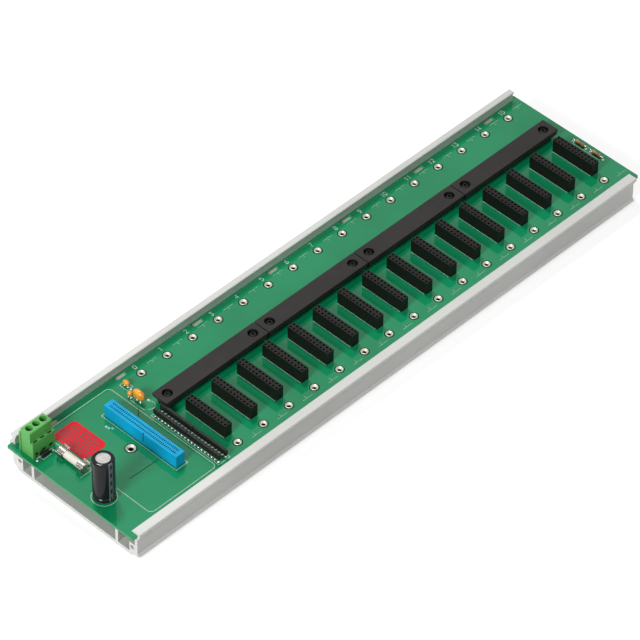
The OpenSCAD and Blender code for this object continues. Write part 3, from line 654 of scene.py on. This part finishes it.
RING_COLOURS = [
    (0.10, 0.03, 0.01, 1), (0.02, 0.02, 0.02, 1), (0.45, 0.05, 0.02, 1), (0.5, 0.35, 0.08, 1),
]
tan = new_finish("tan_lacquer", (0.45, 0.22, 0.09), 0.3, Specular_IOR_Level=0.3)
BODY_HALF = 0.003
RING_STEP = 0.0011
RING_HALF = 0.00026
along = coordinate(tan, 1)
low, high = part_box("end_resistors")
tint = blend(tan, noise(tan, place(tan), 700, 2), (0.42, 0.20, 0.075, 1), (0.50, 0.26, 0.11, 1))
for body_middle in (low.y + BODY_HALF, high.y - BODY_HALF):
    for ring, ring_colour in enumerate(RING_COLOURS):
        ring_at = body_middle + (ring - 1.6) * RING_STEP
        off = calc(tan, "ABSOLUTE", calc(tan, "SUBTRACT", along, ring_at))
        tint = blend(tan, calc(tan, "LESS_THAN", off, RING_HALF), tint, ring_colour)
plug(tan, "Base Color", tint)
relief(tan, noise(tan, place(tan), 900, 2), 0.00002)
dress(tan, "end_resistors")

red = new_finish("red_label", (0.70, 0.008, 0.018), 0.4, Specular_IOR_Level=0.15)
film = noise(red, place(red), 80, 3)
plug(red, "Base Color", blend(red, film, (0.66, 0.008, 0.018, 1), (0.74, 0.012, 0.024, 1)))
relief(red, noise(red, place(red), 220, 2), 0.00004, 0.0001)
dress(red, "warning_label")

# %% [markdown]
# ## Ink on the board
#
# The white legend is silk-screened: thin lines of even width, a few hundredths of a
# millimetre thick.  Each line is a flat ribbon with mitred corners, laid just above
# the deck.  Places are given in millimetres, X from the first module place and Y
# from the board's middle, which is how the board's own drawing would be laid out.

# %% Ribbon maker
INK_LIFT = 0.00004


def ribbon_mesh(name, lines, width, lift=INK_LIFT, base=None):
    """One mesh of flat ribbons; each line is (points in mm, closed)."""
    vertices, faces = [], []
    for points, closed in lines:
        count = len(points)
        start = len(vertices)
        for i, (x, y) in enumerate(points):
            before = points[i - 1] if closed or i else points[i]
            after = points[(i + 1) % count] if closed or i < count - 1 else points[i]
            one = Vector((x - before[0], y - before[1]))
            two = Vector((after[0] - x, after[1] - y))
            one = one.normalized() if one.length else two.normalized()
            two = two.normalized() if two.length else one
            side = Vector((-(one + two).y, (one + two).x)).normalized()
            reach = width / 2 / max(0.5, side.dot(Vector((-one.y, one.x))))
            for sign in (1, -1):
                vertices.append(
                    (
                        first.x + (x + side.x * reach * sign) / 1000,
                        (y + side.y * reach * sign) / 1000,
                        (deck if base is None else base) + lift,
                    )
                )
        for i in range(count if closed else count - 1):
            a, b = start + 2 * i, start + 2 * ((i + 1) % count)
            faces.append((a, a + 1, b + 1, b))
    print(name, "has", len(faces), "faces")
    return mesh_piece(name, vertices, faces)


def arc(x, y, radius, start, end, steps=10):
    """Points on an arc, angles in degrees."""
    return [
        (
            x + radius * math.cos(math.radians(start + (end - start) * i / steps)),
            y + radius * math.sin(math.radians(start + (end - start) * i / steps)),
        )
        for i in range(steps + 1)
    ]


def round_frame(low_x, low_y, high_x, high_y, radius):
    return (
        arc(high_x - radius, high_y - radius, radius, 0, 90)
        + arc(low_x + radius, high_y - radius, radius, 90, 180)
        + arc(low_x + radius, low_y + radius, radius, 180, 270)
        + arc(high_x - radius, low_y + radius, radius, 270, 360)
    )


def rectangle(low_x, low_y, high_x, high_y):
    return [(low_x, low_y), (high_x, low_y), (high_x, high_y), (low_x, high_y)]


# %% [markdown]
# The position numbers are drawn like a plotter's: each digit is a few strokes on a
# grid four wide and seven high.  One short function sets a number anywhere.

# %% Digits
DIGITS = {
    "0": [[(1, 0), (3, 0), (4, 1), (4, 6), (3, 7), (1, 7), (0, 6), (0, 1), (1, 0)]],
    "1": [[(1, 5.6), (2.4, 7), (2.4, 0)]],
    "2": [[(0, 6), (1, 7), (3, 7), (4, 6), (4, 4.4), (0, 0), (4, 0)]],
    "3": [[(0, 7), (4, 7), (2, 4.2), (3, 4.2), (4, 3.2), (4, 1), (3, 0), (1, 0), (0, 1)]],
    "4": [[(3, 0), (3, 7), (0, 2.2), (4.2, 2.2)]],
    "5": [[(4, 7), (0.3, 7), (0.1, 4), (3, 4.2), (4, 3.2), (4, 1), (3, 0), (1, 0), (0, 0.8)]],
    "6": [[(3.6, 7), (1.6, 6.2), (0, 3.6), (0, 1), (1, 0), (3, 0), (4, 1), (4, 2.8), (3, 3.8), (0.4, 3.8)]],
    "7": [[(0, 7), (4, 7), (1.4, 0)]],
    "8": [
        [(1, 3.7), (0.2, 4.6), (0.2, 6.2), (1, 7), (3, 7), (3.8, 6.2), (3.8, 4.6), (3, 3.7), (1, 3.7)],
        [(1, 3.7), (0, 2.8), (0, 1), (1, 0), (3, 0), (4, 1), (4, 2.8), (3, 3.7)],
    ],
    "9": [[(0.6, 0), (2.4, 0.6), (4, 3.4), (4, 6), (3, 7), (1, 7), (0, 6), (0, 4.2), (1, 3.2), (3.7, 3.2)]],
}


def number_lines(text, x, y, tall):
    unit = tall / 7
    shift = -(len(text) * 4 + (len(text) - 1) * 1.6) * unit / 2
    lines = []
    for glyph in text:
        for stroke in DIGITS[glyph]:
            lines.append(([(x + shift + px * unit, y - tall / 2 + py * unit) for px, py in stroke], False))
        shift += 5.6 * unit
    return lines


# %% [markdown]
# Every module place gets its number behind the back hole, a line with a short cross
# stroke towards the holes at the back and in front, and a line along its socket.
# The last strokes are left out where the board ends before they would.

# %% Marks of the module places
NUMBER_TALL = 2.7
NUMBER_RIGHT = 0.5
NUMBER_BEHIND = 5.85
TICK_START = 7.3
TICK_END = 14.6
CROSS_AT = 10.7
SOCKET_LINE_LEFT = 3.0
TICK_ROWS = ((40.4, 38.2, 0), (-40.2, -38.0, 0.5))

step = pitch * 1000
hole_y = back_hole_y * 1000
far_end = (board_high.x - first.x) * 1000 - 0.6
fine, bold, digits, ticks = [], [], [], []
for i in range(MODULE_PLACES):
    x = i * step
    digits += number_lines(str(i), x + NUMBER_RIGHT, hole_y + NUMBER_BEHIND, NUMBER_TALL)
    for y, inner, shift in TICK_ROWS:
        if x + TICK_END + shift > far_end:
            continue
        ticks.append(([(x + TICK_START + shift, y), (x + TICK_END + shift, y)], False))
        ticks.append(([(x + CROSS_AT, inner), (x + CROSS_AT, y)], False))
    low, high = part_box(SOCKETS[i])
    line_x = x - SOCKET_LINE_LEFT
    bold.append(([(line_x, low.y * 1000 + 0.8), (line_x, high.y * 1000 - 0.9)], False))
print(len(digits), "strokes in the numbers,", len(ticks), "in the ticks")

# %% [markdown]
# The other lines frame the parts they belong to, each from that part's own box.

# %% Outlines of the parts
bold.append((round_frame(-69.3, -41.9, -20.4, 41.4, 3), True))


def around(name, margin):
    low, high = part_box(name)
    return rectangle(
        (low.x - first.x) * 1000 - margin, low.y * 1000 - margin,
        (high.x - first.x) * 1000 + margin, high.y * 1000 + margin,
    )


def round_spot(x, y, radius):
    return arc(x, y, radius, 0, 360, 40)[:-1]


def local(name):
    spot = middle(name)
    return (spot.x - first.x) * 1000, spot.y * 1000


bold.append((around("controller_connector", 1.1), True))
net_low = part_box("resistor_network_2")[0]
net_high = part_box("resistor_network_3")[1]
net_frame = rectangle(
    (net_low.x - first.x) * 1000 - 0.9, net_low.y * 1000 - 0.8,
    (net_high.x - first.x) * 1000 + 0.9, net_high.y * 1000 + 0.8,
)
bold.append((net_frame, True))
fine.append((around("diode_body", 0.4), True))
fine.append((around("end_resistors", 0.7), True))
fuse = around("fuse_clips", 0.8)
fine.append((fuse[:2], False))
fine.append((fuse[1:3], False))
can_x, can_y = local("capacitor_sleeve")
bold.append((round_spot(can_x, can_y, 7.1), True))
bead_x, bead_y = local("dipped_capacitor_large")
fine.append((arc(bead_x + 1.6, bead_y - 6.6, 3.2, -150, 60), False))
fine.append(([(bead_x - 2.9, bead_y - 7.6), (bead_x - 2.9, bead_y + 4.2)], False))
fine.append((around("dipped_capacitor_small", 0.7), True))

# %% White ink
legend = ribbon_mesh("white_legend_fine", fine, 0.2)
number_piece = ribbon_mesh("position_numbers", digits, 0.3)
tick_piece = ribbon_mesh("position_ticks", ticks, 0.11)
legend_bold = ribbon_mesh("white_legend_lines", bold, 0.22)

ink = new_finish("white_ink", (0.74, 0.76, 0.73), 0.5)
thin = noise(ink, place(ink), 1500, 3)
plug(ink, "Base Color", blend(ink, thin, (0.66, 0.70, 0.66, 1), (0.80, 0.82, 0.79, 1)))
relief(ink, noise(ink, place(ink), 4000, 2), 0.00001)
for piece in (legend, legend_bold, number_piece, tick_piece):
    piece.data.materials.append(ink)
    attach(piece, "root")

# %% [markdown]
# ## Copper under the mask
#
# Copper areas under the mask end in narrow gaps, where the bare laminate makes a
# darker line, and each plated hole has a dark ring without mask.  Both are ribbons a
# little lower than the ink.  Free plated holes are small tinned rings.

# %% Gaps and rings
gap = new_finish("bare_laminate", (0.002, 0.035, 0.016), 0.5, Specular_IOR_Level=0.1)
resin = noise(gap, place(gap), 900, 2)
plug(gap, "Base Color", blend(gap, resin, (0.002, 0.030, 0.013, 1), (0.004, 0.050, 0.022, 1)))
gaps = [
    ([(-59.9, -15.7), (-38.8, -16.3)], False),
    ([(-19.7, 19.0), (-24.4, 14.1)], False),
]
RING_RADIUS = 2.62
GUIDE_RING_RADIUS = 3.3
GAP_LIFT = 0.00002
rings = []
for i in range(MODULE_PLACES):
    for y in (back_hole_y * 1000, front_hole_y * 1000):
        rings.append((round_spot(i * step, y, RING_RADIUS), True))
guide_x, guide_y = local("controller_standoff")
rings.append((round_spot(guide_x, guide_y, GUIDE_RING_RADIUS), True))
gap_piece = ribbon_mesh("copper_gaps", gaps, 0.5, GAP_LIFT)
ring_piece = ribbon_mesh("hole_rings", rings, 0.72, GAP_LIFT)
for piece in (gap_piece, ring_piece):
    piece.data.materials.append(gap)
    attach(piece, "root")

# %% Free plated holes
PLATED_HOLES = ((-12.9, 32.2), (-11.6, 19.6), (-41.7, 21.1), (-41.6, 19.2), (-40.2, 17.7))
spots = [(round_spot(x, y, 0.45), True) for x, y in PLATED_HOLES]
via_piece = ribbon_mesh("plated_holes", spots, 0.5, 0.00005)
via_piece.data.materials.append(solder)
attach(via_piece, "root")

# %% [markdown]
# ## Contacts in the sockets
#
# Down each square hole stands a forked spring contact of gilt bronze.  From a step
# away it's only a glint at the bottom of the hole, but it tells a socket from a
# block with dots.  Two small leaves per hole are enough, all in one mesh.

# %% Spring contacts
BEND = 0.35
BEND_AT = 0.4


def leaves(name, places, across, reach, top, depth):
    """Two upright leaves a hole, against its two X walls, bent in a little."""
    vertices, faces = [], []
    for x, y in places:
        for side in (-1, 1):
            wall = x + side * reach
            bent = x + side * reach * BEND
            start = len(vertices)
            for px, pz in ((wall, top), (bent, top - depth * BEND_AT), (wall, top - depth)):
                vertices.append((px, y - across, pz))
                vertices.append((px, y + across, pz))
            faces.append((start, start + 1, start + 3, start + 2))
            faces.append((start + 2, start + 3, start + 5, start + 4))
    print(name, "has", len(places), "contacts")
    return mesh_piece(name, vertices, faces)


# %% Contacts in their holes
SOCKET_PINS = 12
PIN_STEP = 0.00254
CONNECTOR_PINS = 40
FINE_STEP = 0.00127
FINE_ROW = 0.0012

gilt = metal("gilt_bronze", (0.72, 0.52, 0.24), 0.25, 900, 0.00002)
contact_places = []
for name in SOCKETS:
    first_pin_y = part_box(name)[1].y - PIN_STEP / 2
    for row in (-1, 1):
        for pin in range(SOCKET_PINS):
            contact_places.append((middle(name).x + row * PIN_STEP / 2, first_pin_y - pin * PIN_STEP))
socket_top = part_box(SOCKETS[0])[1].z
contacts = leaves("socket_contacts", contact_places, 0.0004, 0.00056, socket_top - 0.0012, 0.0042)
centre = middle("controller_connector")
connector_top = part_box("controller_connector")[1].z
slot_places = []
for row in (-1, 1):
    for pin in range(CONNECTOR_PINS):
        along_row = (pin - (CONNECTOR_PINS - 1) / 2) * FINE_STEP
        slot_places.append((centre.x + row * FINE_ROW, centre.y + along_row))
fine_contacts = leaves(
    "connector_contacts", slot_places, 0.00018, 0.00055, connector_top - 0.0017, 0.0012
)
for piece in (contacts, fine_contacts):
    piece.data.materials.append(gilt)
    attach(piece, "root")

# %% [markdown]
# ## The label
#
# The label keeps its red film, and in place of words it has plain dark bars, long
# and short, in rows like a block of text.

# %% Bars on the label
WORDS = [(5, 3, 4), (3, 6, 2, 5), (6, 4, 5), (2, 5, 3, 6), (4, 6, 3), (7, 3, 5), (3, 5, 3)]
LETTER = 1.25
WORD_WIDE = 1.15
LABEL_MARGIN = 2.3

low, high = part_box("warning_label")
left, right = (low.x - first.x) * 1000, (high.x - first.x) * 1000
lower, upper = low.y * 1000, high.y * 1000
bars = []
for row, words in enumerate(WORDS):
    x = left + LABEL_MARGIN + row * (right - left - 2 * LABEL_MARGIN) / (len(WORDS) - 1)
    y = (lower + upper) / 2 - (sum(words) + len(words) - 1) * LETTER / 2
    for letters in words:
        bars.append(([(x, y), (x, y + letters * LETTER)], False))
        y += (letters + 1) * LETTER
bar_piece = ribbon_mesh("label_bars", bars, WORD_WIDE, 0.00003, high.z)
dark_red = new_finish("dark_red_ink", (0.20, 0.004, 0.008), 0.4)
faded = noise(dark_red, place(dark_red), 500, 2)
plug(dark_red, "Base Color", blend(dark_red, faded, (0.14, 0.004, 0.006, 1), (0.26, 0.006, 0.010, 1)))
bar_piece.data.materials.append(dark_red)
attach(bar_piece, "root")
